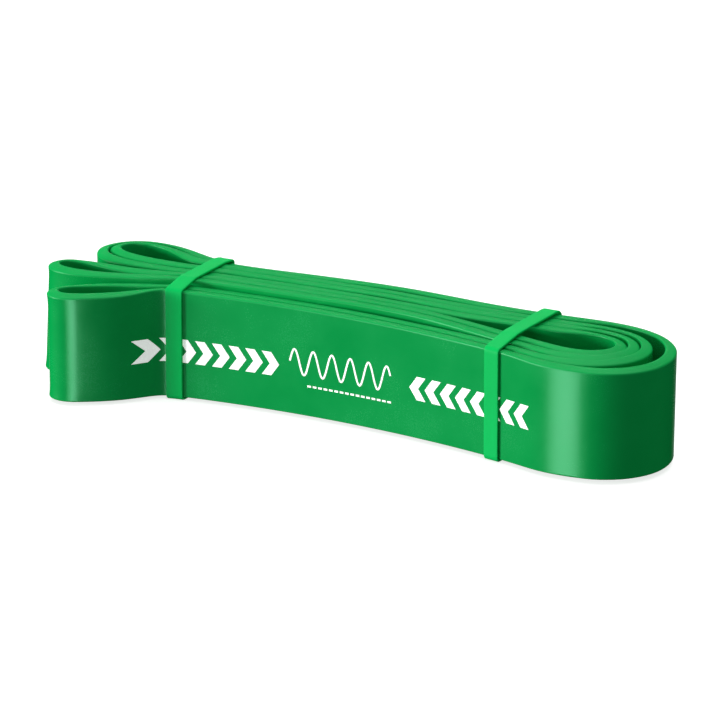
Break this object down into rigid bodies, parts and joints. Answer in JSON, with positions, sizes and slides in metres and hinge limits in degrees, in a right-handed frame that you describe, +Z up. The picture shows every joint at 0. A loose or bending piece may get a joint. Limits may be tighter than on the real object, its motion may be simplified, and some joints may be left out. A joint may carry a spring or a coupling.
{
  "type": "resistance band",
  "caption": "Endless flat latex loop for stretching exercises, folded into an upright layered bundle held by narrow elastic retaining bands.",
  "frame": {"origin": "centre of the footprint, at the height of the retaining bands' undersides, which the bundle rests on", "axes": "+X along the bundle towards the end with the nested folds, +Y from the printed front layer to the back, +Z up across the band's width"},
  "size_m": [0.2766, 0.0808, 0.0481],
  "materials": {
    "loop_latex": "satin",
    "retainer_latex": "satin"
  },
  "bodies": {
    "bundle": {"loop_band": "loop_latex"},
    "left_retainer": {"left_retaining_band": "retainer_latex"},
    "right_retainer": {"right_retaining_band": "retainer_latex"}
  },
  "joints": [
    {"name": "left_retainer_slide", "type": "slide", "parent": "bundle", "child": "left_retainer", "axis": [0.9982, 0.0599, 0], "range_m": [0, 0.065]},
    {"name": "right_retainer_slide", "type": "slide", "parent": "bundle", "child": "right_retainer", "axis": [-0.9982, 0.0599, 0], "range_m": [0, 0.07]}
  ]
}
